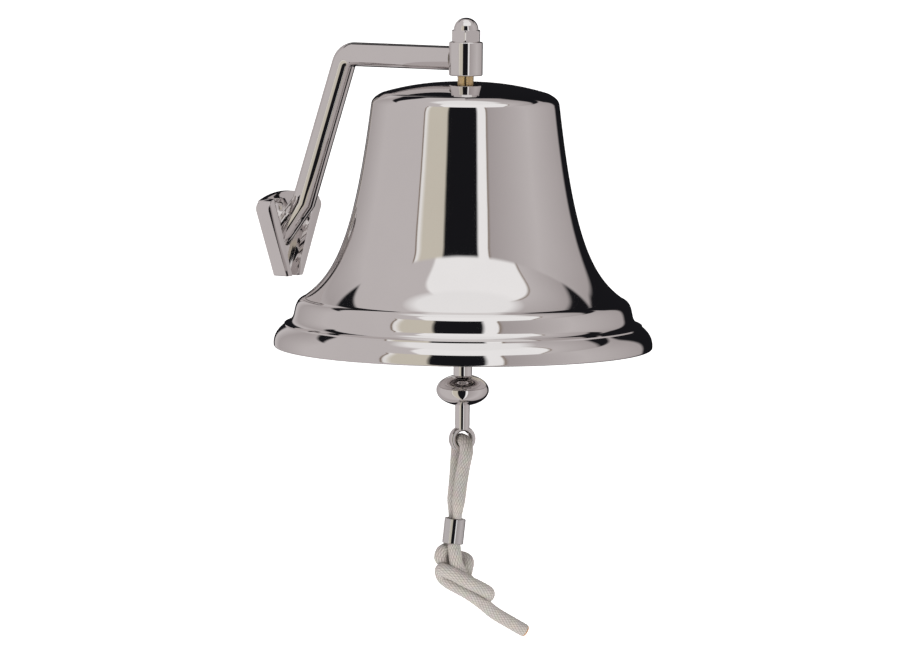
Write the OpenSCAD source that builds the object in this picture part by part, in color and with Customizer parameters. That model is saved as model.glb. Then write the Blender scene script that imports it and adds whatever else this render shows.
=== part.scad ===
// Ship bell on a wall bracket, with a hung clapper and a knotted pull rope.
// Millimetres. +Z is up and +X points away from the wall.
// The origin lies on the back face of the wall plate, on its centre line, 15 mm below its screw holes.

/* [Bell] */
// Diameter of the rim
rim_d = 180; // [176:1:184]
// Height of the rim's lower edge
rim_z = -47; // [-50:1:-44]
// Height from the rim to the shoulder
shoulder_h = 117; // [115:1:119]
// Height from the rim to the top of the crown
crown_h = 126; // [125:1:127]
// Radius at the shoulder
shoulder_r = 44.5; // [44:0.5:46]
// Thickness of the crown
crown_t = 5; // [4:0.5:6]
// Thickness of the waist
waist_t = 3.6; // [3:0.2:4.6]

/* [Bracket] */
// Distance from the wall to the axis of the bell
reach = 105; // [102:1:112]
// Diameter of the bent arm
rod_d = 11.5; // [10:0.5:12]
// Diameter of the boss at the end of the arm
boss_d = 16; // [15:0.5:18]
// Height of the boss
boss_h = 16; // [15:0.5:17]

/* [Wall plate] */
// Thickness at the rims
plate_t = 7.4; // [7:0.2:8]
// Thickness at the floor of the channel
floor_t = 3; // [2.6:0.2:4]
// Depth of the plate's lower edge below the origin
plate_low = 18.5; // [18:0.5:20]
// Height of its upper corners above the origin
plate_side = 18; // [17:0.5:19]
// Width at the bottom
plate_foot_w = 15; // [14:0.5:16]
// Width at the top of the sides
plate_head_w = 45; // [44:0.5:47]
// Height of the two screw holes above the origin
screw_z = 15; // [14:0.5:16]
// Distance between the two screw holes
screw_pitch = 16; // [15:0.5:17]
// Diameter of the screw holes
screw_d = 4.8; // [4:0.2:5]

/* [Hanger] */
// Diameter of the stud's thread
stud_d = 8; // [8:1:8]
// Width across the flats of the nuts
nut_af = 13; // [13:0.5:14]

/* [Clapper] */
// Height of the pin the clapper swings on
pin_z = 47; // [46:0.5:48]
// Diameter of that pin
pin_d = 5; // [4:0.5:5]
// Diameter of the striking ball
ball_d = 25; // [24:0.5:25]
// Height of the striking ball
ball_h = 15; // [14:0.5:16]
// Height of the ball's centre
ball_z = -67.5; // [-69:0.5:-66]
// Height of the centre of the pull eye
eye_z = -91; // [-92:0.5:-90]

/* [Lanyard] */
// Diameter of the braided rope
rope_d = 6.2; // [6:0.1:6.2]
// Diameter of the metal ferrule
ferrule_d = 10; // [9.8:0.2:11]
// Length of the ferrule
ferrule_h = 12; // [11:0.5:13]

/* [Hidden] */

$fn = 96;
bore_play = 0.1;
run_play = 0.05;
clear = 60;

// Colours
chrome_c = [0.82, 0.83, 0.85];
brass_c = [0.80, 0.64, 0.32];
rope_c = [0.90, 0.88, 0.84];

// Heights of the hanger, from the crown upwards and downwards
crown_z = rim_z + crown_h;
boss_z = crown_z + 3;
arm_z = boss_z + boss_h / 2;
crown_under_z = crown_z - crown_t - 0.4;
washer_h = 2;
nut_h = 6.5;
crown_nut_z = crown_under_z - washer_h - nut_h;
stud_r = stud_d / 2;

// Outer outline of the bell, as radius and height above the rim
waist_top = [shoulder_r + 0.3, shoulder_h - 3];
waist_pull = [52.3, 52.2];
flare_pull = [60.9, 34];
flare_end = [76, 23.4];
lip_r = rim_d / 2;
waist_steps = 28;
arc_steps = 8;

// Swivel fork, pin and barrel
spigot_r = 2.5;
ear_in = 5.2;
ear_t = 3;
ear_r = 5.5;
barrel_r = 4.5;
barrel_half = 5;
web_z = 59.9;
web_h = 3.5;
spigot_low_z = 54;
fork_turn = -35;

// Pull eye: a thick ring that faces the pin's direction
eye_hole_r = 3.85;
eye_rim_r = 6.3;
eye_thick = 4.5;
eye_edge = 0.8;

// Arm: places of the bends in the vertical plane through the bell's axis
elbow_in = [36.2, 85.6];
elbow_out = [40.4, arm_z];
knee_p = [12.6, 18];
foot_p = [3.1, 5.5];

// Route of the doubled rope: down the front, over the eye and down the back, with its radius
rope_r = rope_d / 2;
grip_r = 2.2;
strand = [
    [2.25, -4.5, -142, grip_r], [2.25, -4.3, -138, grip_r], [2.25, -3.7, -133, grip_r],
    [2.4, -3.2, -129, 2.3], [2.8, -3.1, -126, 2.7], [3.2, -2.8, -121, 3.1],
    [3.3, -2.2, -115, rope_r], [3.8, -1.4, -108, rope_r], [4.7, -0.7, -102, rope_r],
    [5.4, -0.2, -98.6, rope_r], [5.6, 0, -97, rope_r], [5.6, 0, -95.2, rope_r],
    [5.1, 0, -93.6, rope_r], [4, 0, -92.3, rope_r], [2.6, 0, -91.7, rope_r], [1.2, 0, -91.5, rope_r]
];
tail_route = [
    [0, 7, -164], [0, 11, -169.6], [0, 14.6, -172.4], [0, 18.4, -175], [0, 22.4, -177.8],
    [0, 26.4, -180.6], [0, 30.4, -183.8], [0, 33.8, -186]
];

// Points of a cubic curve from a to d, with b and c as its pulls
function bezier(a, b, c, d, steps) = [
    for (i = [0 : steps])
        let (t = i / steps, u = 1 - t)
        u * u * u * a + 3 * u * u * t * b + 3 * u * t * t * c + t * t * t * d
];

// Points of an arc about a centre, from one angle to another
function arc(centre, r, from, to, steps) = [
    for (i = [0 : steps])
        let (angle = from + (to - from) * i / steps)
        centre + r * [cos(angle), sin(angle)]
];

// Outer outline, from the lip's lower edge up to the crown
dome_r = 150;
shoulder_round = 6;
function dome_height(r) = crown_h - dome_r + sqrt(dome_r * dome_r - r * r);
dome_edge = shoulder_r - shoulder_round + 1;
outer_outline = concat(
    arc([lip_r - 1, 1], 1, -90, 0, arc_steps),
    bezier([lip_r, 2.4], [lip_r - 0.3, 6], [lip_r - 2.2, 8.2], [lip_r - 5, 10.4], arc_steps),
    bezier([lip_r - 5, 11.1], [lip_r - 7.4, 12], [lip_r - 8.8, 12.8], [lip_r - 9.4, 15.2], arc_steps),
    bezier([lip_r - 9.7, 16.6], [lip_r - 10.4, 20.4], [lip_r - 11.2, 22.4], flare_end, arc_steps),
    bezier(flare_end, flare_pull, waist_pull, waist_top, waist_steps),
    bezier(
        [shoulder_r, shoulder_h - 1], [shoulder_r - 0.6, shoulder_h + 1.2],
        [shoulder_r - 2.2, shoulder_h + 2.2],
        [dome_edge, dome_height(dome_edge)], arc_steps
    ),
    [for (i = [1 : 14]) let (r = dome_edge * (1 - i / 14)) [r, dome_height(r)]]
);

// Inner outline, from the crown down to the lip
inner_lip_r = lip_r - 6;
inner_crown_h = crown_h - crown_t - 0.4;
inner_outline = concat(
    [[0, inner_crown_h], [14, inner_crown_h], [24, inner_crown_h - 1]],
    bezier(
        [32, inner_crown_h - 3], [38, inner_crown_h - 5.5], [shoulder_r - waist_t, shoulder_h - 4],
        [shoulder_r - waist_t + 0.3, shoulder_h - 9], arc_steps
    ),
    bezier(
        [shoulder_r - waist_t + 0.6, shoulder_h - 13], [48.4, 52], [56.6, 33], [71.6, 21.6],
        waist_steps
    ),
    bezier([73, 20.4], [77, 16.4], [inner_lip_r - 1.6, 9], [inner_lip_r, 1], 12),
    arc([inner_lip_r + 1, 1], 1, 180, 270, 4)
);

// Places its children on the bell's axis, turned to the clapper's swing
module hung(z) {
    translate([reach, 0, z])
        rotate([0, 0, fork_turn])
            children();
}

// A round bar that lies along the clapper's pin, centred on the axis
module cross_bar(r, from, to) {
    translate([from, 0, 0])
        rotate([0, 90, 0])
            cylinder(r = r, h = to - from);
}

// A round bar on the bell's axis, between two heights
module axis_bar(r, low, high) {
    translate([reach, 0, low])
        cylinder(r = r, h = high - low);
}

// A turned shape on the bell's axis: points are radius and height
module turned(points) {
    translate([reach, 0, 0])
        rotate_extrude()
            polygon(points);
}

// A hexagonal nut with chamfered corners and a through hole
module hex_nut(low, high, hole_r, flats = nut_af) {
    corner_r = flats / 2 / cos(30);
    chamfer = 1;
    translate([reach, 0, 0])
        difference() {
            intersection() {
                translate([0, 0, low])
                    cylinder(r = corner_r, h = high - low, $fn = 6);
                rotate_extrude()
                    polygon([
                        [0, low], [corner_r - chamfer, low], [corner_r, low + chamfer * 0.6],
                        [corner_r, high - chamfer * 0.6], [corner_r - chamfer, high], [0, high]
                    ]);
            }
            translate([0, 0, low - 1])
                cylinder(r = hole_r, h = high - low + 2);
        }
}

// Outline of the wall plate: y across, z up
module plate_outline() {
    top_rise = 4.5;
    corner = 3;
    top_r = (pow(plate_head_w / 2, 2) + top_rise * top_rise) / (2 * top_rise);
    top_centre = [0, plate_side + top_rise - top_r];
    half_angle = asin((plate_head_w / 2 - corner * 0.6) / top_r);
    polygon(concat(
        arc([-plate_foot_w / 2 + 1.4, 1.4 - plate_low], 1.4, 200, 270, 4),
        arc([plate_foot_w / 2 - 1.4, 1.4 - plate_low], 1.4, 270, 340, 4),
        arc([plate_head_w / 2 - corner, plate_side - corner], corner, -20, 60, 6),
        arc(top_centre, top_r, 90 - half_angle, 90 + half_angle, 16),
        arc([corner - plate_head_w / 2, plate_side - corner], corner, 120, 200, 6)
    ));
}

// Tapered channel in the front of the plate, open at its top
rim_w = 5.7;
module channel_outline() {
    slope = (plate_head_w - plate_foot_w) / 2 / (plate_low + plate_side);
    low_half = plate_foot_w / 2 - rim_w;
    high_half = low_half + slope * (plate_low + clear);
    polygon([
        [-low_half, -plate_low - 0.1], [low_half, -plate_low - 0.1],
        [high_half, clear], [-high_half, clear]
    ]);
}

// Turns a drawing of y and z into a slab that starts at the wall
module upright(thick) {
    rotate([90, 0, 90])
        linear_extrude(height = thick)
            children();
}

// Cast wall plate with a tapered channel and two countersunk holes
head_r = 4.3;
sink = 1.5;
module wall_plate() {
    color(chrome_c)
        difference() {
            upright(plate_t)
                plate_outline();
            translate([floor_t, 0, 0])
                upright(plate_t)
                    channel_outline();
            for (side = [-1, 1])
                translate([0, side * screw_pitch / 2, screw_z])
                    rotate([0, 90, 0]) {
                        translate([0, 0, -1])
                            cylinder(d = screw_d, h = plate_t);
                        translate([0, 0, floor_t - sink])
                            cylinder(r1 = screw_d / 2, r2 = head_r, h = sink + 0.01);
                    }
        }
}

// One straight stretch of the arm, drawn in the plane of x and height
module rod_line(from, to) {
    run = to - from;
    translate([from.x, 0, from.y])
        rotate([0, atan2(run.x, run.y), 0])
            cylinder(d = rod_d, h = norm(run));
}

// Bent arm: foot, riser and level bar, coped to the boss and cut flush at the plate
foot_run = knee_p - foot_p;
foot_extra = 10;
corner_bead = 0.3;
module rod_corner(place) {
    translate([place.x, 0, place.y])
        sphere(d = rod_d + corner_bead);
}
module arm_rod() {
    color(chrome_c)
        difference() {
            union() {
                rod_line(foot_p - foot_extra * foot_run / norm(foot_run), knee_p);
                rod_corner(knee_p);
                rod_line(knee_p, elbow_in);
                rod_corner(elbow_in);
                rod_line(elbow_in, elbow_out);
                rod_corner(elbow_out);
                rod_line(elbow_out, [reach, arm_z]);
            }
            translate([floor_t - clear, -clear / 2, -clear / 2])
                cube([clear, clear, clear]);
            axis_bar(boss_d / 2, boss_z - 1, boss_z + boss_h + 1);
        }
}

// Tapped boss at the end of the arm
module hanger_boss() {
    chamfer = 0.7;
    r = boss_d / 2;
    top = boss_z + boss_h;
    color(chrome_c)
        turned([
            [stud_r + bore_play, boss_z], [r - chamfer, boss_z], [r, boss_z + chamfer],
            [r, top - chamfer], [r - chamfer, top], [stud_r + bore_play, top]
        ]);
}

// Domed nut on top of the boss
cap_nut_z = boss_z + boss_h;
cap_hex_h = 5.4;
cap_dome_r = 6;
cap_bore_h = 8;
module cap_nut() {
    color(chrome_c)
        difference() {
            union() {
                hex_nut(cap_nut_z, cap_nut_z + cap_hex_h, stud_r + bore_play);
                translate([reach, 0, cap_nut_z + cap_hex_h])
                    rotate_extrude()
                        polygon(concat([[0, -1], [cap_dome_r, -1]], arc([0, 0.2], cap_dome_r, 0, 90, 16)));
            }
            axis_bar(stud_r + bore_play, cap_nut_z - 1, cap_nut_z + cap_bore_h);
        }
}

// Threaded stud that ties arm and bell together, with a thinner end for the swivel
stud_low_z = 64;
module hanger_stud() {
    tip = 0.8;
    top = cap_nut_z + cap_bore_h - 0.4;
    color(brass_c)
        turned([
            [0, spigot_low_z], [spigot_r, spigot_low_z], [spigot_r, stud_low_z],
            [stud_r, stud_low_z], [stud_r, top - tip], [stud_r - tip, top], [0, top]
        ]);
}

// Bell shell with a hole for the stud
module bell() {
    color(chrome_c)
        translate([reach, 0, rim_z])
            difference() {
                rotate_extrude($fn = 180)
                    polygon(concat(outer_outline, inner_outline));
                translate([0, 0, crown_h - crown_t - 4])
                    cylinder(r = stud_r + bore_play, h = crown_t + 8);
            }
}

// Flat washer under the crown
module crown_washer() {
    washer_r = 12;
    color(chrome_c)
        difference() {
            axis_bar(washer_r, crown_under_z - washer_h, crown_under_z);
            axis_bar(stud_r + bore_play, crown_under_z - clear, crown_under_z + 1);
        }
}

// Hexagonal nut that holds the bell up against the boss
module crown_nut() {
    color(chrome_c)
        hex_nut(crown_nut_z, crown_nut_z + nut_h, stud_r + bore_play);
}

// Fork that turns on the stud's thin end and carries the clapper's pin
module swivel_fork() {
    ear_out = ear_in + ear_t;
    color(chrome_c)
        hung(pin_z)
            difference() {
                union() {
                    translate([-ear_out, -ear_r, web_z - pin_z])
                        cube([2 * ear_out, 2 * ear_r, web_h]);
                    for (side = [-1, 1])
                        translate([side * (ear_in + ear_t / 2), 0, 0]) {
                            cross_bar(ear_r, -ear_t / 2, ear_t / 2);
                            translate([-ear_t / 2, -ear_r, 0])
                                cube([ear_t, 2 * ear_r, web_z - pin_z + 1]);
                        }
                }
                cylinder(r = spigot_r + run_play, h = clear);
                cross_bar(pin_d / 2, -clear / 2, clear / 2);
            }
}

// Washer under the fork
swivel_washer_h = 1;
web_gap = 0.1;
module swivel_washer() {
    washer_r = 4.5;
    top = web_z - web_gap;
    color(chrome_c)
        difference() {
            axis_bar(washer_r, top - swivel_washer_h, top);
            axis_bar(spigot_r + run_play, top - clear, top + 1);
        }
}

// Small nut on the stud's thin end
module swivel_nut() {
    flats = 8;
    top = web_z - web_gap - swivel_washer_h;
    color(chrome_c)
        hex_nut(top - 4, top, spigot_r + run_play, flats);
}

// Pin pressed into the fork's ears
module clapper_pin() {
    pin_end = ear_in + ear_t + 0.6;
    color(chrome_c)
        hung(pin_z)
            cross_bar(pin_d / 2, -pin_end, pin_end);
}

// Clapper rod: barrel on the pin, widening shaft and a spigot into the ball
rod_top_r = 3;
rod_low_r = 4.45;
ball_top_z = ball_z + ball_h / 2 - 0.6;
ball_low_z = ball_z - ball_h / 2 + 0.6;
module clapper_rod() {
    color(chrome_c)
        difference() {
            union() {
                turned([
                    [0, ball_z], [spigot_r, ball_z], [spigot_r, ball_top_z], [rod_low_r, ball_top_z],
                    [rod_low_r, ball_top_z + 10], [rod_top_r, ball_top_z + 50],
                    [rod_top_r, pin_z], [0, pin_z]
                ]);
                hung(pin_z)
                    cross_bar(barrel_r, -barrel_half, barrel_half);
            }
            hung(pin_z)
                cross_bar(pin_d / 2 + run_play, -clear / 2, clear / 2);
        }
}

// Flattened striking ball, bored right through for the rod and the pull eye
module clapper_ball() {
    flat_r = 5;
    squash = ball_h / ball_d;
    side = [
        for (i = [1 : 23])
            let (angle = -90 + 180 * i / 24, r = ball_d / 2 * cos(angle))
            if (r > flat_r) [r, ball_z + ball_d / 2 * squash * sin(angle)]
    ];
    color(chrome_c)
        turned(concat(
            [[spigot_r + run_play, ball_low_z], [flat_r, ball_low_z]], side,
            [[flat_r, ball_top_z], [spigot_r + run_play, ball_top_z]]
        ));
}

// Ring with a short stem and a spigot, screwed into the ball from below
module clapper_eye() {
    stem_r = 3.5;
    half = eye_thick / 2;
    e = eye_edge;
    color(chrome_c)
        hung(eye_z)
            difference() {
                union() {
                    rotate_extrude()
                        polygon([
                            [0, 4], [stem_r, 4], [stem_r, ball_low_z - eye_z],
                            [spigot_r, ball_low_z - eye_z], [spigot_r, ball_z - eye_z - 0.2],
                            [0, ball_z - eye_z - 0.2]
                        ]);
                    rotate([0, 90, 0])
                        rotate_extrude()
                            polygon([
                                [0, -half], [eye_rim_r - e, -half], [eye_rim_r, e - half],
                                [eye_rim_r, half - e], [eye_rim_r - e, half], [0, half]
                            ]);
                }
                cross_bar(eye_hole_r, -clear / 2, clear / 2);
                for (side = [0, 180])
                    rotate([0, 0, side])
                        translate([half - e, 0, 0])
                            rotate([0, 90, 0])
                                cylinder(r1 = eye_hole_r - 0.01, r2 = eye_hole_r + e + 0.2, h = e + 0.2);
            }
}

// Tube swept along a route of points and radii, as one closed surface
rope_sides = 12;
function place(row) = [row.x, row.y, row.z];
function unit(v) = v / norm(v);
function heading(route, i) =
    unit(place(route[min(i + 1, len(route) - 1)]) - place(route[max(i - 1, 0)]));
function ring_at(route, i) =
    let (
        along = heading(route, i),
        across = unit(cross(along, [0.02, 1, 0])),
        over = cross(along, across)
    )
    [
        for (k = [0 : rope_sides - 1])
            let (angle = 360 * k / rope_sides)
            place(route[i]) + route[i][3] * (cos(angle) * across + sin(angle) * over)
    ];
module rope(route) {
    rings = len(route);
    points = [for (i = [0 : rings - 1]) each ring_at(route, i)];
    walls = [
        for (i = [0 : rings - 2], k = [0 : rope_sides - 1])
            let (next = (k + 1) % rope_sides, a = i * rope_sides, b = a + rope_sides)
            [a + k, b + k, b + next, a + next]
    ];
    first = [for (k = [0 : rope_sides - 1]) k];
    last = [for (k = [rope_sides - 1 : -1 : 0]) (rings - 1) * rope_sides + k];
    polyhedron(points = points, faces = concat([first], walls, [last]), convexity = 6);
}

// Rope doubled over the pull eye, down to the knot
strands = len(strand);
loop_route = concat(
    strand,
    [for (i = [strands - 1 : -1 : 0]) [-strand[i].x, strand[i].y, strand[i].z, strand[i][3]]]
);
module rope_loop() {
    color(rope_c)
        hung(0)
            rope(loop_route);
}

// Metal sleeve clenched round both strands
ferrule_top = [0, -3.1, -129];
ferrule_lean = 6.2;
module ferrule() {
    wall = 0.5;
    color(chrome_c)
        hung(0)
            translate(ferrule_top)
                rotate([-ferrule_lean, 0, 0])
                    translate([0, 0, -ferrule_h])
                        difference() {
                            cylinder(d = ferrule_d, h = ferrule_h);
                            translate([0, 0, -1])
                                cylinder(d = ferrule_d - 2 * wall, h = ferrule_h + 2);
                        }
}

// Body of the knot: a plain rounded form of its outer size
knot_low = [0, 9, -164];
knot_high = [0, -4.6, -146];
knot_r = 8;
module rope_knot() {
    run = knot_high - knot_low;
    long = norm(run);
    lean = atan2(-run.y, run.z);
    color(rope_c)
        hung(0)
            translate(knot_low)
                rotate([lean, 0, 0])
                    rotate_extrude()
                        polygon(concat(
                            arc([0, 0], knot_r * 0.8, -90, 0, 8),
                            bezier(
                                [knot_r * 0.8, 0.6], [knot_r * 1.05, long * 0.3],
                                [knot_r * 1.05, long * 0.7], [knot_r * 0.8, long - 0.6], 8
                            ),
                            arc([0, long], knot_r * 0.8, 0, 90, 8)
                        ));
}

// Loose end below the knot
module rope_tail() {
    color(rope_c)
        hung(0)
            rope([for (p = tail_route) [p.x, p.y, p.z, rope_r]]);
}

wall_plate();
arm_rod();
hanger_boss();
cap_nut();
hanger_stud();
bell();
crown_washer();
crown_nut();
swivel_fork();
swivel_washer();
swivel_nut();
clapper_pin();
clapper_rod();
clapper_ball();
clapper_eye();
rope_loop();
ferrule();
rope_knot();
rope_tail();
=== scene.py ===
import math

import bmesh
import bpy
from mathutils import Matrix, Vector


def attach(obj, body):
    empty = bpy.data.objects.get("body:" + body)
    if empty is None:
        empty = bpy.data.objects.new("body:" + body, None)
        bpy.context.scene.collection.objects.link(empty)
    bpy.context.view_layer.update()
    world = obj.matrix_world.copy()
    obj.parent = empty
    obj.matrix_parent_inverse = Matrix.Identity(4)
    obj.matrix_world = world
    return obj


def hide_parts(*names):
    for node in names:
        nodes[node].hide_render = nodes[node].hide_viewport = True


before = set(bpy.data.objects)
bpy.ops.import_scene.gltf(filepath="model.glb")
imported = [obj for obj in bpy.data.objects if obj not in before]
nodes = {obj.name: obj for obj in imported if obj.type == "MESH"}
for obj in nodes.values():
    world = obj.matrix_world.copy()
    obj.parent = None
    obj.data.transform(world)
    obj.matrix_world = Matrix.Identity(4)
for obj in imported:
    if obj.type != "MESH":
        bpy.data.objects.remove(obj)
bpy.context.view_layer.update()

MM = 0.001
REACH = 105.0
RIM_Z = -47.0
TURN = math.radians(-35.0)
SWING = Vector((math.cos(TURN), math.sin(TURN), 0.0))
ACROSS = Vector((-math.sin(TURN), math.cos(TURN), 0.0))


# ---------------------------------------------------------------- camera
scene = bpy.context.scene
EYE = Vector((1.446, -2.075, 0.208))
AIM = Vector((0.0997, -0.0034, -0.0361))
ROLL = math.radians(0.55)

camera_data = bpy.data.cameras.new("camera")
camera_data.lens = 209.0
camera_data.sensor_width = 36.0
camera_data.clip_start = 0.05
camera_data.clip_end = 60.0
camera = bpy.data.objects.new("camera", camera_data)
look = (AIM - EYE).to_track_quat("-Z", "Y").to_matrix().to_4x4()
camera.matrix_world = Matrix.Translation(EYE) @ look @ Matrix.Rotation(ROLL, 4, "Z")
scene.collection.objects.link(camera)
scene.camera = camera
scene.view_settings.view_transform = "Standard"


# ---------------------------------------------------------------- shapes
def bezier(a, b, c, d, steps):
    points = []
    for i in range(steps + 1):
        t = i / steps
        u = 1 - t
        points.append(
            tuple(
                u**3 * a[k] + 3 * u * u * t * b[k] + 3 * u * t * t * c[k] + t**3 * d[k]
                for k in range(2)
            )
        )
    return points


def arc(centre, r, start, end, steps):
    points = []
    for i in range(steps + 1):
        a = math.radians(start + (end - start) * i / steps)
        points.append((centre[0] + r * math.cos(a), centre[1] + r * math.sin(a)))
    return points


def link(name, mesh):
    obj = bpy.data.objects.new(name, mesh)
    scene.collection.objects.link(obj)
    return obj


def smooth(mesh, angle=35.0):
    """Smooth shading, with edges sharper than the angle kept sharp."""
    for p in mesh.polygons:
        p.use_smooth = True
    b = bmesh.new()
    b.from_mesh(mesh)
    for e in b.edges:
        if len(e.link_faces) == 2:
            e.smooth = e.calc_face_angle(0.0) < math.radians(angle)
    b.to_mesh(mesh)
    b.free()


def axis_frame(z, along=None):
    """A frame on the bell's axis at this height; along turns local Z to another direction."""
    place = Matrix.Translation(Vector((REACH, 0.0, z)))
    if along is not None:
        place = place @ Vector((0, 0, 1)).rotation_difference(along).to_matrix().to_4x4()
    return place


def lathe(name, profile, place, segments=192, closed=True):
    """Turns points of radius and height about local Z. Closed profiles are rings."""
    verts, faces, rings = [], [], []
    for r, h in profile:
        if r < 1e-6:
            rings.append([len(verts)])
            verts.append((0.0, 0.0, h))
            continue
        rings.append(list(range(len(verts), len(verts) + segments)))
        for s in range(segments):
            a = 2 * math.pi * s / segments
            verts.append((r * math.cos(a), r * math.sin(a), h))
    pairs = list(zip(rings, rings[1:]))
    if closed:
        pairs.append((rings[-1], rings[0]))
    for low, high in pairs:
        if len(low) == 1 and len(high) == 1:
            continue
        for s in range(segments):
            t = (s + 1) % segments
            if len(low) == 1:
                faces.append((low[0], high[t], high[s]))
            elif len(high) == 1:
                faces.append((low[s], low[t], high[0]))
            else:
                faces.append((low[s], low[t], high[t], high[s]))
    mesh = bpy.data.meshes.new(name)
    mesh.from_pydata([tuple((place @ Vector(v)) * MM) for v in verts], [], faces)
    b = bmesh.new()
    b.from_mesh(mesh)
    bmesh.ops.recalc_face_normals(b, faces=b.faces)
    b.to_mesh(mesh)
    b.free()
    smooth(mesh)
    return link(name, mesh)


def bevelled(node, name, width, segments=3):
    """A copy of a CAD node with small rounded edges."""
    mesh = nodes[node].data.copy()
    mesh.name = name
    b = bmesh.new()
    b.from_mesh(mesh)
    bmesh.ops.remove_doubles(b, verts=b.verts, dist=1e-6)
    bmesh.ops.dissolve_limit(b, angle_limit=math.radians(0.5), verts=b.verts, edges=b.edges)
    sharp = [
        e for e in b.edges
        if len(e.link_faces) == 2 and e.calc_face_angle(0.0) > math.radians(28)
    ]
    bmesh.ops.bevel(
        b, geom=sharp, offset=width * MM, segments=segments, profile=0.5,
        affect="EDGES", clamp_overlap=True,
    )
    b.to_mesh(mesh)
    b.free()
    smooth(mesh, 30.0)
    return link(name, mesh)


# ---------------------------------------------------------------- materials
def material(name):
    m = bpy.data.materials.new(name)
    m.use_nodes = True
    t = m.node_tree
    return m, t, t.nodes["Principled BSDF"]


def node(tree, kind, **values):
    n = tree.nodes.new(kind)
    for key, value in values.items():
        setattr(n, key, value)
    return n


def metal(name, tint, dull, marks=0.02, wear=0.25):
    """Polished metal: faint smears in the shine and a very slight waviness."""
    m, t, p = material(name)
    p.inputs["Metallic"].default_value = 1.0
    p.inputs["Roughness"].default_value = dull
    coord = node(t, "ShaderNodeTexCoord")
    smear = node(t, "ShaderNodeTexNoise")
    smear.inputs["Scale"].default_value = 38.0
    smear.inputs["Detail"].default_value = 5.0
    t.links.new(coord.outputs["Object"], smear.inputs["Vector"])
    span = node(t, "ShaderNodeMapRange")
    span.inputs["From Min"].default_value = 0.35
    span.inputs["From Max"].default_value = 0.75
    span.inputs["To Min"].default_value = dull
    span.inputs["To Max"].default_value = dull + marks
    t.links.new(smear.outputs["Fac"], span.inputs["Value"])
    t.links.new(span.outputs["Result"], p.inputs["Roughness"])
    shade = node(t, "ShaderNodeMixRGB")
    shade.inputs["Color1"].default_value = (*tint, 1)
    shade.inputs["Color2"].default_value = (*[v * (1 - wear * 0.25) for v in tint], 1)
    t.links.new(smear.outputs["Fac"], shade.inputs["Fac"])
    t.links.new(shade.outputs["Color"], p.inputs["Base Color"])
    wave = node(t, "ShaderNodeTexNoise")
    wave.inputs["Scale"].default_value = 55.0
    t.links.new(coord.outputs["Object"], wave.inputs["Vector"])
    bump = node(t, "ShaderNodeBump")
    bump.inputs["Strength"].default_value = 0.05
    bump.inputs["Distance"].default_value = 0.0004
    t.links.new(wave.outputs["Fac"], bump.inputs["Height"])
    t.links.new(bump.outputs["Normal"], p.inputs["Normal"])
    return m


CHROME = metal("chrome", (0.80, 0.775, 0.77), 0.03, 0.03)
STEEL = metal("bright_steel", (0.62, 0.61, 0.60), 0.16, 0.10)
FERRULE = metal("ferrule_steel", (0.74, 0.73, 0.73), 0.07, 0.05)
BRASS = metal("brass", (0.88, 0.72, 0.44), 0.22, 0.12)


def braid_material():
    """Woven rope: darker between the plaits with painted shade, faintly soiled, brown at its melted end."""
    m, t, p = material("rope")
    p.inputs["Roughness"].default_value = 0.85
    # painted shade: the colour goes dark where the plait height is low, in the grooves between the plaits
    coord = node(t, "ShaderNodeAttribute", attribute_name="weave")
    ramp = node(t, "ShaderNodeValToRGB")
    ramp.color_ramp.elements[0].position = 0.10
    ramp.color_ramp.elements[0].color = (0.19, 0.148, 0.115, 1)
    ramp.color_ramp.elements[1].position = 0.7
    ramp.color_ramp.elements[1].color = (0.63, 0.565, 0.50, 1)
    t.links.new(coord.outputs["Fac"], ramp.inputs["Fac"])
    place = node(t, "ShaderNodeTexCoord")
    soil = node(t, "ShaderNodeTexNoise")
    soil.inputs["Scale"].default_value = 240.0
    soil.inputs["Detail"].default_value = 6.0
    t.links.new(place.outputs["Object"], soil.inputs["Vector"])
    tone = node(t, "ShaderNodeMixRGB", blend_type="MULTIPLY")
    tone.inputs["Fac"].default_value = 0.35
    t.links.new(ramp.outputs["Color"], tone.inputs["Color1"])
    t.links.new(soil.outputs["Color"], tone.inputs["Color2"])
    lift = node(t, "ShaderNodeHueSaturation")
    lift.inputs["Saturation"].default_value = 0.62
    lift.inputs["Value"].default_value = 0.96
    t.links.new(tone.outputs["Color"], lift.inputs["Color"])
    burnt = node(t, "ShaderNodeAttribute", attribute_name="burnt")
    end = node(t, "ShaderNodeMixRGB")
    end.inputs["Color2"].default_value = (0.42, 0.20, 0.06, 1)
    t.links.new(burnt.outputs["Fac"], end.inputs["Fac"])
    t.links.new(lift.outputs["Color"], end.inputs["Color1"])
    t.links.new(end.outputs["Color"], p.inputs["Base Color"])
    fuzz = node(t, "ShaderNodeTexNoise")
    fuzz.inputs["Scale"].default_value = 2600.0
    t.links.new(place.outputs["Object"], fuzz.inputs["Vector"])
    bump = node(t, "ShaderNodeBump")
    bump.inputs["Strength"].default_value = 0.35
    bump.inputs["Distance"].default_value = 0.0002
    t.links.new(fuzz.outputs["Fac"], bump.inputs["Height"])
    t.links.new(bump.outputs["Normal"], p.inputs["Normal"])
    return m


ROPE = braid_material()


def dress(obj, body, slot_name, mat, *stands_for):
    """Gives a piece its material, its body and the CAD nodes it stands for; slot_name is not used."""
    obj.data.materials.clear()
    obj.data.materials.append(mat)
    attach(obj, body)
    if stands_for:
        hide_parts(*stands_for)
    return obj


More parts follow.
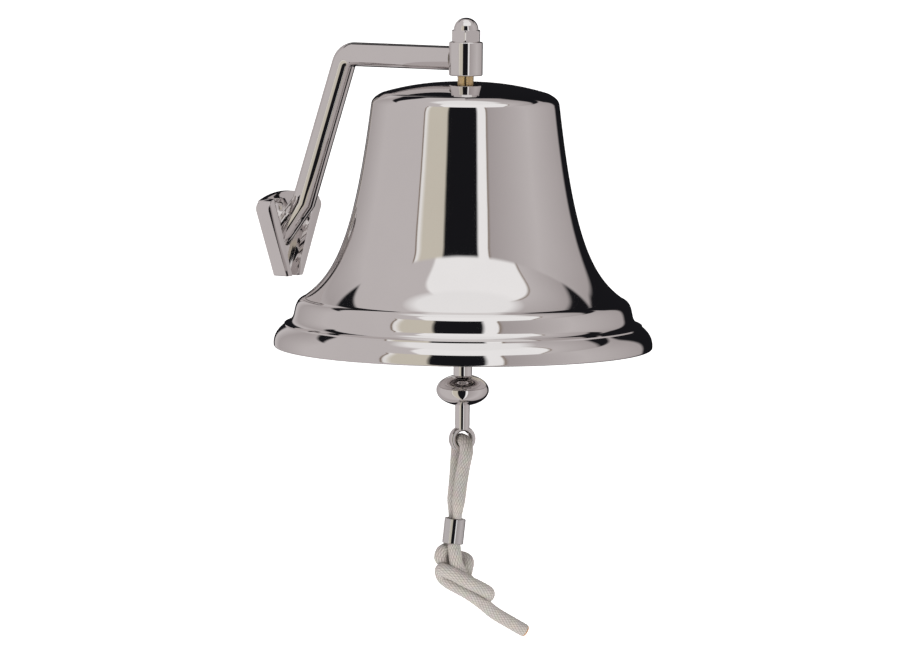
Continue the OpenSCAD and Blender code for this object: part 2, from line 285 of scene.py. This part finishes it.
# ---------------------------------------------------------------- rope
ROPE_R = 3.1
GRIP_R = 2.2  # radius of each strand where the ferrule squeezes it
GRIP_STARTS = -119.0  # height at which the strands begin to narrow
GRIP_RUN = 9.0  # drop over which they narrow
KNOT_FROM = 51.5  # length of rope from the eye down to the ferrule's lower end
RELEASE_RUN = 4.0  # length over which a strand swells again below the ferrule
RING_GAP = 0.28
RING_SIDES = 56
PLAITS = 14
PLAIT_PITCH = 2.6
END_ROUND = 1.2  # length of the melted end's rounding
END_BURNT = 0.7  # length of its brown edge
SEEN_COS = 0.928  # cosine and sine of the lanyard's turn from the viewer
SEEN_SIN = 0.374


def local(x, y, z):
    """A point of the lanyard: x towards the front, y to the right, z up, in millimetres."""
    return Vector((REACH, 0.0, z)) + SWING * x + ACROSS * y


def seen(front, right, height):
    """A point by its distance to the right as seen from the front, above the rim."""
    return local(front, (right - SEEN_SIN * front) / SEEN_COS, height + RIM_Z)


def spline(points, steps=24):
    """A smooth curve through the points, which stays close to them at tight turns."""
    padded = [points[0] * 2 - points[1]] + points + [points[-1] * 2 - points[-2]]
    dense = []
    for i in range(1, len(padded) - 2):
        a, b, c, d = padded[i - 1 : i + 3]
        ta, tb = math.sqrt((b - a).length), math.sqrt((c - b).length)
        tc = math.sqrt((d - c).length)
        m1 = (c - b) + tb * ((b - a) / ta - (c - a) / (ta + tb))
        m2 = (c - b) + tb * ((d - c) / tc - (d - b) / (tb + tc))
        for k in range(steps):
            t = k / steps
            dense.append(
                (2 * t**3 - 3 * t * t + 1) * b
                + (t**3 - 2 * t * t + t) * m1
                + (3 * t * t - 2 * t**3) * c
                + (t**3 - t * t) * m2
            )
    dense.append(points[-1].copy())
    return dense


def even(points, gap):
    """The same line with points at even distances, and its length."""
    total = sum((b - a).length for a, b in zip(points, points[1:]))
    count = max(8, round(total / gap))
    out, done, i = [points[0].copy()], 0.0, 0
    for k in range(1, count):
        want = total * k / count
        while done + (points[i + 1] - points[i]).length < want:
            done += (points[i + 1] - points[i]).length
            i += 1
        part = (want - done) / (points[i + 1] - points[i]).length
        out.append(points[i].lerp(points[i + 1], part))
    out.append(points[-1].copy())
    return out, total


def ease(t):
    return t * t * (3 - 2 * t)


def rope_radius(p, in_knot):
    """Thinner where the ferrule squeezes it."""
    if p.z > GRIP_STARTS or in_knot:
        return ROPE_R
    t = min(1.0, max(0.0, (GRIP_STARTS - p.z) / GRIP_RUN))
    return ROPE_R + (GRIP_R - ROPE_R) * ease(t)


def braided(name, route, end_burnt):
    sides = RING_SIDES
    line, total = even(spline(route), RING_GAP)
    verts, faces, weave, burnt = [], [], [], []
    normal = None
    run = 0.0
    for i, p in enumerate(line):
        ahead = line[min(i + 1, len(line) - 1)]
        behind = line[max(i - 1, 0)]
        along = (ahead - behind).normalized()
        if normal is None:
            normal = along.orthogonal().normalized()
        normal = (normal - along * normal.dot(along)).normalized()
        other = along.cross(normal)
        if i:
            run += (p - line[i - 1]).length
        in_knot = run > KNOT_FROM
        r = rope_radius(p, in_knot)
        if in_knot and run < KNOT_FROM + RELEASE_RUN:
            r = GRIP_R + (ROPE_R - GRIP_R) * ease((run - KNOT_FROM) / RELEASE_RUN)
        left = total - run
        if end_burnt and left < END_ROUND:
            r *= 0.86 + 0.14 * math.sqrt(max(0.0, left / END_ROUND))
        s = run * 2 * math.pi / PLAIT_PITCH
        for k in range(sides):
            a = 2 * math.pi * k / sides
            one = math.cos(0.5 * (PLAITS * a + s))
            two = math.cos(0.5 * (PLAITS * a - s))
            h = math.sqrt(abs(one * two))
            reach = r * (0.935 + 0.095 * h)
            verts.append(p + (normal * math.cos(a) + other * math.sin(a)) * reach)
            # the plait height also sets the painted shade between the plaits in the rope material
            weave.append(h)
            burnt.append(1.0 if end_burnt and left < END_BURNT else 0.0)
        if i:
            base = (i - 1) * sides
            for k in range(sides):
                n = (k + 1) % sides
                faces.append((base + k, base + n, base + sides + n, base + sides + k))
    for ring, where, out in ((0, line[0], -1), (len(line) - 1, line[-1], 1)):
        centre = len(verts)
        near = line[1] if ring == 0 else line[-2]
        verts.append(where + (where - near).normalized() * 0.25)
        weave.append(0.6)
        burnt.append(1.0 if end_burnt and out > 0 else 0.0)
        base = ring * sides
        for k in range(sides):
            n = (k + 1) % sides
            faces.append(
                (centre, base + k, base + n) if out > 0 else (centre, base + n, base + k)
            )
    mesh = bpy.data.meshes.new(name)
    mesh.from_pydata([tuple(v * MM) for v in verts], [], faces)
    for key, values in (("weave", weave), ("burnt", burnt)):
        layer = mesh.attributes.new(key, "FLOAT", "POINT")
        layer.data.foreach_set("value", values)
    for p in mesh.polygons:
        p.use_smooth = True
    path = [tuple(p * MM) for p in line[::6]] + [tuple(line[-1] * MM)]
    return link(name, mesh), path, total


# Both strands from the eye to the ferrule, then each one's way through the knot
UPPER = [
    (0.0, 0.0, -91.5), (1.2, 0.0, -91.5), (2.6, 0.0, -91.7), (4.0, 0.0, -92.3),
    (5.1, 0.0, -93.6), (5.6, 0.0, -95.2), (5.6, 0.0, -97.0), (5.4, -0.2, -98.6),
    (4.7, -0.7, -102.0), (3.8, -1.4, -108.0), (3.3, -2.2, -115.0), (3.2, -2.8, -121.0),
    (2.8, -3.1, -126.0), (2.4, -3.2, -129.0), (2.25, -3.7, -133.0), (2.25, -4.3, -138.0),
    (2.25, -4.5, -142.0),
]
LONG_KNOT = [
    (3.2, -2.9, -98.5), (3.4, -2.2, -103.0), (1.0, -0.4, -107.5), (-1.6, 3.4, -112.5),
    (-3.4, 8.2, -117.8), (-2.2, 12.2, -120.6), (2.4, 13.2, -118.4), (5.0, 8.8, -115.0),
    (6.0, 2.0, -111.2), (4.6, -4.6, -107.6), (0.8, -9.2, -106.4), (-0.6, -8.6, -110.0),
    (0.8, -5.4, -112.8), (1.4, -1.2, -115.2), (1.2, 4.0, -118.4), (0.8, 10.0, -123.0),
    (0.6, 16.2, -128.4), (0.0, 23.4, -133.2), (0.0, 31.4, -138.2),
]
SHORT_KNOT = [
    (-2.6, -5.4, -96.2), (-1.6, -9.0, -98.2), (-1.8, -9.6, -101.2), (-4.4, -5.6, -102.4),
    (-5.2, 0.0, -101.8), (-2.6, 3.0, -103.2), (-0.6, 2.6, -107.0), (-3.0, 1.6, -111.5),
]

front_top = [local(*p) for p in UPPER]
back_top = [local(-x, y, z) for x, y, z in UPPER]
long_route = front_top + [seen(*p) for p in LONG_KNOT]
short_route = back_top + [seen(*p) for p in SHORT_KNOT]

ferrule_axis_top = local(0, -3.1, -129)
ferrule_axis_low = local(0, -4.4, -141)
ferrule_axis = (ferrule_axis_top - ferrule_axis_low).normalized()
ferrule_place = Matrix.Translation(ferrule_axis_low) @ (
    Vector((0, 0, 1)).rotation_difference(ferrule_axis).to_matrix().to_4x4()
)
ferrule = lathe(
    "ferrule_tube",
    [(4.55, 0.3), (4.75, 0.0), (5.0, 0.3), (5.0, 11.8), (4.75, 12.1), (4.55, 11.8)],
    ferrule_place, 96,
)
dress(ferrule, "lanyard", "ferrule_steel", FERRULE, "ferrule")

long_rope, long_path, long_length = braided("rope_long", long_route, True)
short_rope, short_path, short_length = braided("rope_short", short_route, True)
dress(long_rope, "lanyard", "rope", ROPE, "rope_loop", "rope_knot", "rope_tail")
dress(short_rope, "lanyard", "rope", ROPE)


# ---------------------------------------------------------------- bell
LIP = 90.0
SHOULDER_R = 44.5
SHOULDER_H = 117.0
CROWN_H = 126.0
CROWN_T = 5.4
DOME_R = 150.0
DOME_EDGE = 39.5
DOME_STEPS = 24
BORE_R = 4.1


def dome(r):
    return CROWN_H - DOME_R + math.sqrt(DOME_R * DOME_R - r * r)


outer = (
    arc((LIP - 1, 1), 1, -90, 0, 8)
    + bezier((LIP, 2.4), (LIP - 0.3, 6), (LIP - 2.2, 8.2), (LIP - 5, 10.4), 16)
    + bezier(
        (LIP - 5, 11.1), (LIP - 7.4, 12), (LIP - 8.8, 12.8), (LIP - 9.4, 15.2), 14
    )
    + bezier((LIP - 9.7, 16.6), (LIP - 10.4, 20.4), (LIP - 11.2, 22.4), (76, 23.4), 14)
    + bezier((76, 23.4), (60.9, 34), (52.3, 52.2), (44.8, 114), 90)[1:]
    + bezier(
        (SHOULDER_R, SHOULDER_H - 1), (SHOULDER_R - 0.6, SHOULDER_H + 1.2),
        (SHOULDER_R - 2.2, SHOULDER_H + 2.2), (DOME_EDGE, dome(DOME_EDGE)), 14,
    )
    + [
        (DOME_EDGE * (1 - i / DOME_STEPS) + BORE_R * i / DOME_STEPS, dome(DOME_EDGE * (1 - i / DOME_STEPS)))
        for i in range(1, DOME_STEPS + 1)
    ]
)
inner_crown = CROWN_H - CROWN_T
inner = (
    [(BORE_R, inner_crown), (14, inner_crown), (24, inner_crown - 1)]
    + bezier((32, inner_crown - 3), (38, inner_crown - 5.5), (40.9, 113), (41.2, 108), 16)
    + bezier((41.5, 104), (48.4, 52), (56.6, 33), (71.6, 21.6), 60)
    + bezier((73, 20.4), (77, 16.4), (LIP - 7.6, 9), (LIP - 6, 1), 24)
    + arc((LIP - 5, 1), 1, 180, 270, 6)
)
bell = lathe("bell_shell", outer + inner, axis_frame(RIM_Z), 256)
dress(bell, "mount", "chrome", CHROME, "bell")


# ---------------------------------------------------------------- hanger
CROWN_Z = RIM_Z + CROWN_H
BOSS_Z = CROWN_Z + 3
BOSS_H = 16
BOSS_EDGE = 0.7
BOSS_ARC_R = 8 - BOSS_EDGE
boss = lathe(
    "boss_ring",
    [(BORE_R, 0), (7.2, 0)]
    + arc((BOSS_ARC_R, BOSS_EDGE), BOSS_EDGE, -90, 0, 5)
    + arc((BOSS_ARC_R, BOSS_H - BOSS_EDGE), BOSS_EDGE, 0, 90, 5)
    + [(7.2, BOSS_H), (BORE_R, BOSS_H)],
    axis_frame(BOSS_Z),
)
dress(boss, "mount", "chrome", CHROME, "hanger_boss")


HEX_LEVELS = (0.0, 0.03, 0.07, 0.12, 0.18, 0.82, 0.88, 0.93, 0.97, 1.0)


def hex_form(name, flats, low, high, hole, round_over=0.9):
    """A hexagon whose corners are turned down to a cone above and below."""
    corner = flats / 2 / math.cos(math.radians(30))
    sides = 6 * 24
    b = bmesh.new()
    rings = []
    for level in HEX_LEVELS:
        z = low + (high - low) * level
        ring = []
        depth = min(z - low, high - z)
        limit = corner - round_over + depth * 1.75
        for s in range(sides):
            a = 2 * math.pi * s / sides
            wedge = (a + math.pi / 6) % (math.pi / 3) - math.pi / 6
            flat = flats / 2 / math.cos(wedge - math.copysign(math.pi / 6, wedge))
            r = min(flat, limit, corner - 0.12)
            ring.append(b.verts.new((r * math.cos(a), r * math.sin(a), z)))
        rings.append(ring)
    for one, two in zip(rings, rings[1:]):
        for s in range(sides):
            t = (s + 1) % sides
            b.faces.new((one[s], one[t], two[t], two[s]))
    holes = []
    for z in (low, high):
        turns = [2 * math.pi * s / sides for s in range(sides)]
        holes.append([b.verts.new((hole * math.cos(a), hole * math.sin(a), z)) for a in turns])
    for ring, rim in ((rings[0], holes[0]), (rings[-1], holes[1]), (holes[0], holes[1])):
        for s in range(sides):
            t = (s + 1) % sides
            b.faces.new((ring[s], ring[t], rim[t], rim[s]))
    bmesh.ops.recalc_face_normals(b, faces=b.faces)
    mesh = bpy.data.meshes.new(name)
    b.to_mesh(mesh)
    b.free()
    mesh.transform(Matrix.Scale(MM, 4) @ axis_frame(0))
    smooth(mesh, 18.0)
    return link(name, mesh)


CAP_Z = BOSS_Z + BOSS_H
CAP_FLATS = 13
cap_hex = hex_form("cap_nut_hex", CAP_FLATS, CAP_Z, CAP_Z + 5.6, 4.2)
dress(cap_hex, "mount", "chrome", CHROME, "cap_nut")
cap_dome = lathe(
    "cap_nut_dome",
    [(0, 5.0), (5.8, 5.0)] + arc((0.2, 5.8), 5.6, 0, 90, 24) + [(0, 11.4)],
    axis_frame(CAP_Z), closed=False,
)
dress(cap_dome, "mount", "chrome", CHROME)

# Stud with a fine thread in the gap above the crown
THREAD_TURNS = 16
THREAD_RUN = 8.0
thread = []
for i in range(THREAD_TURNS * 4 + 1):
    z = CROWN_Z - 2 + THREAD_RUN * i / (THREAD_TURNS * 4)
    thread.append((3.95 if i % 4 < 2 else 3.6, z))
stud = lathe(
    "stud_thread",
    [(0, 54), (2.5, 54), (2.5, 64), (3.9, 64), (3.9, thread[0][1])]
    + thread + [(3.9, thread[-1][1]), (3.9, CAP_Z + 7), (0, CAP_Z + 7)],
    axis_frame(0), 96, closed=False,
)
dress(stud, "mount", "brass", BRASS, "hanger_stud")

# Bent arm: swept ring by ring, sharp at the knee and rounded at the elbow
ARM_Z = BOSS_Z + BOSS_H / 2
ARM_R = 5.75


def swept(name, line, r, flush_x, sides=64):
    """Round bar along a line, its first end cut off level at this distance from the wall."""
    verts, faces = [], []
    for i, p in enumerate(line):
        before = (p - line[i - 1]).normalized() if i else None
        after = (line[i + 1] - p).normalized() if i < len(line) - 1 else None
        one = before or after
        two = after or before
        mid = (one + two).normalized()
        side = Vector((0, 1, 0))
        up = mid.cross(side).normalized()
        stretch = 1 / max(0.5, mid.dot(one))
        for k in range(sides):
            a = 2 * math.pi * k / sides
            v = p + side * math.cos(a) * r + up * math.sin(a) * r * stretch
            if i == 0:
                v += after * ((flush_x - v.x) / after.x)
            verts.append(v)
        if i:
            base = (i - 1) * sides
            for k in range(sides):
                n = (k + 1) % sides
                faces.append((base + k, base + n, base + sides + n, base + sides + k))
    faces.append(tuple(range(sides)))
    faces.append(tuple(reversed(range(len(verts) - sides, len(verts)))))
    mesh = bpy.data.meshes.new(name)
    mesh.from_pydata([tuple(v * MM) for v in verts], [], faces)
    b = bmesh.new()
    b.from_mesh(mesh)
    bmesh.ops.recalc_face_normals(b, faces=b.faces)
    b.to_mesh(mesh)
    b.free()
    smooth(mesh, 20.0)
    return link(name, mesh)


FOOT = Vector((3.0, 0, 5.4))
KNEE = Vector((12.6, 0, 18.0))
ELBOW_LOW = Vector((35.0, 0, 83.0))
ELBOW_R = 6.6
ELBOW_STEPS = 10
elbow_c = Vector((41.6, 0, ARM_Z - ELBOW_R))
rise = (ELBOW_LOW - KNEE).normalized()
start_a = math.degrees(math.atan2(rise.z, rise.x)) + 90
elbow = [
    Vector((x, 0, z))
    for x, z in arc((elbow_c.x, elbow_c.z), ELBOW_R, start_a, 90, ELBOW_STEPS)
]
arm = swept(
    "arm_bar",
    [FOOT, FOOT.lerp(KNEE, 0.75), KNEE, KNEE.lerp(elbow[0], 0.5)] + elbow
    + [Vector((70, 0, ARM_Z)), Vector((REACH - 6.4, 0, ARM_Z))],
    ARM_R, FOOT.x,
)
dress(arm, "mount", "chrome", CHROME, "arm_rod")

plate = bevelled("wall_plate", "plate_cast", 0.7)
dress(plate, "mount", "chrome", CHROME, "wall_plate")
for name, mat in (
    ("crown_washer", STEEL), ("crown_nut", STEEL), ("swivel_washer", STEEL),
    ("swivel_nut", STEEL), ("swivel_fork", CHROME), ("clapper_pin", CHROME),
):
    piece = nodes[name]
    piece.data.materials.clear()
    piece.data.materials.append(mat)


# ---------------------------------------------------------------- clapper
BALL_Z = -67.5
EYE_Z = -91.0
BALL_R = 12.5
BALL_HALF_H = 7.5
BALL_FLAT_R = 4.2
PIN_Z = 47
ball_side = [
    (r, h * BALL_HALF_H / BALL_R)
    for r, h in arc((0, 0), BALL_R, -90, 90, 48)
    if r > BALL_FLAT_R
]
ball = lathe(
    "striking_ball", [(2.6, -7.0), (3.8, -7.05)] + ball_side + [(3.8, 7.05), (2.6, 7.0)],
    axis_frame(BALL_Z), 160,
)
dress(ball, "clapper", "chrome", CHROME, "clapper_ball")
rod = lathe(
    "rod_shaft",
    [
        (0, BALL_Z + 6.6), (4.45, BALL_Z + 6.6), (4.45, BALL_Z + 17), (3.0, BALL_Z + 57),
        (3.0, PIN_Z - 2), (0, PIN_Z - 2),
    ],
    axis_frame(0), 96, closed=False,
)
dress(rod, "clapper", "chrome", CHROME, "clapper_rod")
barrel = lathe(
    "rod_barrel", [(2.56, -5), (4.3, -5), (4.5, -4.8), (4.5, 4.8), (4.3, 5), (2.56, 5)],
    axis_frame(PIN_Z, SWING), 96,
)
dress(barrel, "clapper", "chrome", CHROME)
eye_ring = lathe(
    "eye_ring",
    arc((4.85, -1.25), 1.0, 180, 270, 6) + arc((5.3, -1.25), 1.0, 270, 360, 6)
    + arc((5.3, 1.25), 1.0, 0, 90, 6) + arc((4.85, 1.25), 1.0, 90, 180, 6),
    axis_frame(EYE_Z, SWING), 128,
)
dress(eye_ring, "clapper", "chrome", CHROME, "clapper_eye")
eye_stem = lathe(
    "eye_stem",
    [
        (0, EYE_Z + 4.9), (3.3, EYE_Z + 4.7), (3.5, EYE_Z + 7), (3.5, BALL_Z - 6.8),
        (0, BALL_Z - 6.8),
    ],
    axis_frame(0), 96, closed=False,
)
dress(eye_stem, "clapper", "chrome", CHROME)


# ---------------------------------------------------------------- studio
def studio():
    """Pale surroundings with a few dark and bright panels for the polished metal."""
    world = bpy.data.worlds.new("studio")
    scene.world = world
    world.use_nodes = True
    t = world.node_tree
    t.nodes.clear()
    out = node(t, "ShaderNodeOutputWorld")
    shine = node(t, "ShaderNodeBackground")
    t.links.new(shine.outputs["Background"], out.inputs["Surface"])
    coord = node(t, "ShaderNodeTexCoord")
    toward = EYE - AIM
    heading = math.atan2(toward.y, toward.x)
    turn = node(t, "ShaderNodeVectorRotate", rotation_type="Z_AXIS")
    turn.inputs["Angle"].default_value = -heading
    t.links.new(coord.outputs["Generated"], turn.inputs["Vector"])
    split = node(t, "ShaderNodeSeparateXYZ")
    t.links.new(turn.outputs["Vector"], split.inputs["Vector"])
    azimuth = node(t, "ShaderNodeMath", operation="ARCTAN2")
    t.links.new(split.outputs["Y"], azimuth.inputs[0])
    t.links.new(split.outputs["X"], azimuth.inputs[1])
    turnwise = node(t, "ShaderNodeMapRange")
    turnwise.inputs["From Min"].default_value = -math.pi
    turnwise.inputs["From Max"].default_value = math.pi
    lifted = node(t, "ShaderNodeMapRange", interpolation_type="SMOOTHSTEP")
    lifted.inputs["From Min"].default_value = math.sin(math.radians(30))
    lifted.inputs["From Max"].default_value = math.sin(math.radians(70))
    lifted.inputs["To Min"].default_value = 1.0
    lifted.inputs["To Max"].default_value = 0.55
    t.links.new(split.outputs["Z"], lifted.inputs["Value"])
    spread = node(t, "ShaderNodeMath", operation="MULTIPLY")
    t.links.new(azimuth.outputs["Value"], spread.inputs[0])
    t.links.new(lifted.outputs["Result"], spread.inputs[1])
    t.links.new(spread.outputs["Value"], turnwise.inputs["Value"])

    def around(stops):
        """A band of colours by azimuth, in degrees from the front of the object as shown."""
        ramp = node(t, "ShaderNodeValToRGB")
        ramp.color_ramp.interpolation = "LINEAR"
        elements = ramp.color_ramp.elements
        while len(elements) > 1:
            elements.remove(elements[-1])
        first = True
        for degrees, colour in stops:
            place = (degrees + 180) / 360
            e = elements[0] if first else elements.new(place)
            e.position = place
            e.color = (*colour, 1)
            first = False
        t.links.new(turnwise.outputs["Result"], ramp.inputs["Fac"])
        return ramp.outputs["Color"]

    white = (1.0, 1.0, 1.0)
    grey = (0.44, 0.405, 0.405)
    light = (0.60, 0.565, 0.565)
    dark = (0.010, 0.010, 0.012)
    cream = (0.66, 0.62, 0.53)
    brown = (0.16, 0.10, 0.05)
    low = around([
        (-180, dark), (-166, dark), (-164, light), (-150, grey), (-110, light),
        (-52, light), (-50.5, brown), (-49, white), (-44, cream), (-22, cream), (-20.5, dark),
        (13, dark), (15, white), (24, white), (25.5, brown), (27, grey), (80, light),
        (138, grey), (143, dark), (179, dark),
    ])
    high = around([
        (-180, dark), (-112, dark), (-107, light), (-60, light), (-29, light), (-27, white),
        (50, white), (51.5, brown), (53, light), (100, grey), (108, dark), (179, dark),
    ])
    mix = node(t, "ShaderNodeMixRGB")
    up = node(t, "ShaderNodeMapRange")
    up.inputs["From Min"].default_value = math.sin(math.radians(36))
    up.inputs["From Max"].default_value = math.sin(math.radians(38))
    t.links.new(split.outputs["Z"], up.inputs["Value"])
    t.links.new(up.outputs["Result"], mix.inputs["Fac"])
    t.links.new(low, mix.inputs["Color1"])
    t.links.new(high, mix.inputs["Color2"])
    top = node(t, "ShaderNodeMixRGB")
    top.inputs["Color2"].default_value = (0.95, 0.95, 0.95, 1)
    crown = node(t, "ShaderNodeMapRange")
    crown.inputs["From Min"].default_value = math.sin(math.radians(66))
    crown.inputs["From Max"].default_value = math.sin(math.radians(72))
    t.links.new(split.outputs["Z"], crown.inputs["Value"])
    t.links.new(crown.outputs["Result"], top.inputs["Fac"])
    t.links.new(mix.outputs["Color"], top.inputs["Color1"])
    t.links.new(top.outputs["Color"], shine.inputs["Color"])
    shine.inputs["Strength"].default_value = 1.0


studio()


def area(name, where, aim, size, watts):
    """A soft round lamp that lights the object without a reflection of its own."""
    data = bpy.data.lights.new(name, "AREA")
    data.shape = "DISK"
    data.size = size
    data.energy = watts
    lamp = bpy.data.objects.new(name, data)
    lamp.location = where
    lamp.rotation_euler = (Vector(aim) - Vector(where)).to_track_quat("-Z", "Y").to_euler()
    lamp.visible_glossy = False
    lamp.visible_camera = False
    scene.collection.objects.link(lamp)


area("key", (1.6, -0.9, 1.3), (0.1, 0.0, -0.1), 0.7, 14.0)
area("fill", (-0.6, -1.6, 0.4), (0.1, 0.0, -0.1), 0.9, 8.0)

FLOOR_HALF = 60.0
corners = [(x * FLOOR_HALF, y * FLOOR_HALF, 0) for x, y in ((-1, -1), (1, -1), (1, 1), (-1, 1))]
floor_mesh = bpy.data.meshes.new("floor")
floor_mesh.from_pydata(corners, [], [(0, 1, 2, 3)])
floor = link("floor", floor_mesh)
floor.location.z = -0.42
floor_mat, floor_tree, floor_p = material("floor")
floor_p.inputs["Base Color"].default_value = (0.9, 0.9, 0.9, 1)
floor_p.inputs["Roughness"].default_value = 0.9
floor_p.inputs["Emission Color"].default_value = (1, 1, 1, 1)
floor_p.inputs["Emission Strength"].default_value = 0.75
floor.visible_glossy = False
floor_mesh.materials.append(floor_mat)
